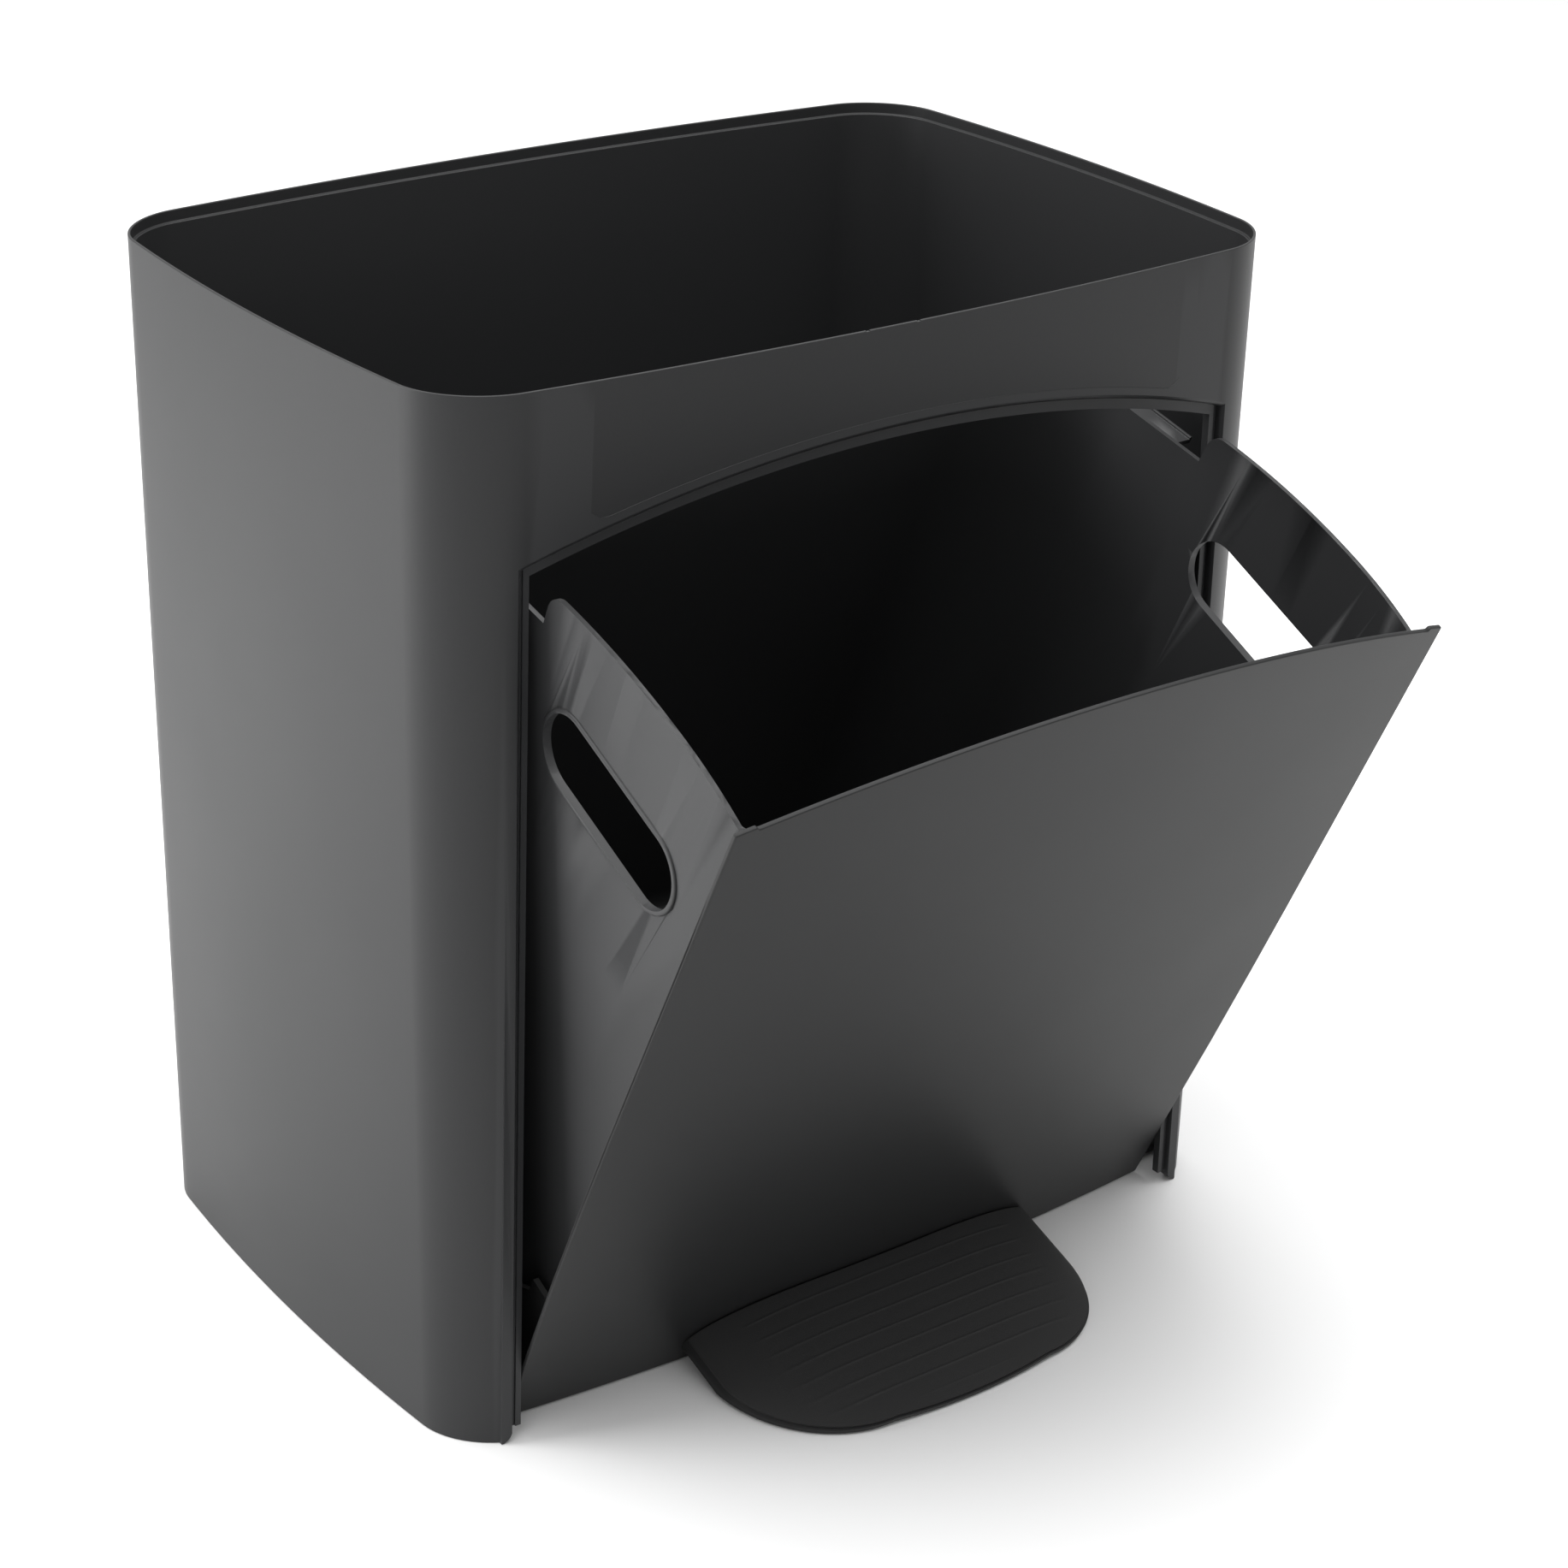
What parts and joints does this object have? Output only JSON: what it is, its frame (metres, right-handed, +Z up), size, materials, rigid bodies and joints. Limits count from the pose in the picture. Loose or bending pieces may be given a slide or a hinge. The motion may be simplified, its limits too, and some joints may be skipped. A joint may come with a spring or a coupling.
{
  "type": "tilt-out pedal waste bin",
  "caption": "Open-topped waste bin casing with an arched front opening and a pedal-operated front panel that tips a lift-out bucket forward on a low pivot.",
  "frame": {"origin": "on the floor, below the middle of the open bin's bounding box", "axes": "+X to the right as seen from the front, -Y towards the front where the bucket tips out, +Z up"},
  "size_m": [0.5, 0.5184, 0.54],
  "materials": {
    "casing": "fine satin, dark grey",
    "panel": "fine satin, dark grey",
    "bucket": "satin, dark grey",
    "structure": "black",
    "pedal": "black",
    "rubber": "black",
    "bush": "black",
    "steel": "zinc plated"
  },
  "bodies": {
    "casing_body": {"anti_slip_pad_front_left": "rubber", "anti_slip_pad_front_right": "rubber", "anti_slip_pad_rear_left": "rubber", "anti_slip_pad_rear_right": "rubber", "base_screw_front_left": "steel", "base_screw_front_right": "steel", "base_screw_rear_left": "steel", "base_screw_rear_right": "steel", "base_tray": "structure", "bracket_screw_front_left": "steel", "bracket_screw_front_right": "steel", "bracket_screw_rear_left": "steel", "bracket_screw_rear_right": "steel", "casing": "casing", "pivot_bracket_left": "structure", "pivot_bracket_right": "structure", "pivot_bush_left": "bush", "pivot_bush_right": "bush"},
    "tipping_body": {"bucket": "bucket", "front_panel": "panel", "panel_screw_inner_left": "steel", "panel_screw_inner_right": "steel", "panel_screw_outer_left": "steel", "panel_screw_outer_right": "steel", "pedal": "pedal", "pedal_screw_left": "steel", "pedal_screw_right": "steel", "pedal_tread": "rubber", "pivot_pin_left": "steel", "pivot_pin_right": "steel", "tilt_cradle": "structure"}
  },
  "joints": [
    {"name": "bucket_tilt", "type": "hinge", "parent": "casing_body", "child": "tipping_body", "pos_m": [0, -0.01723, 0.058], "axis": [-1, 0, 0], "range_deg": [0, 24.6]}
  ]
}
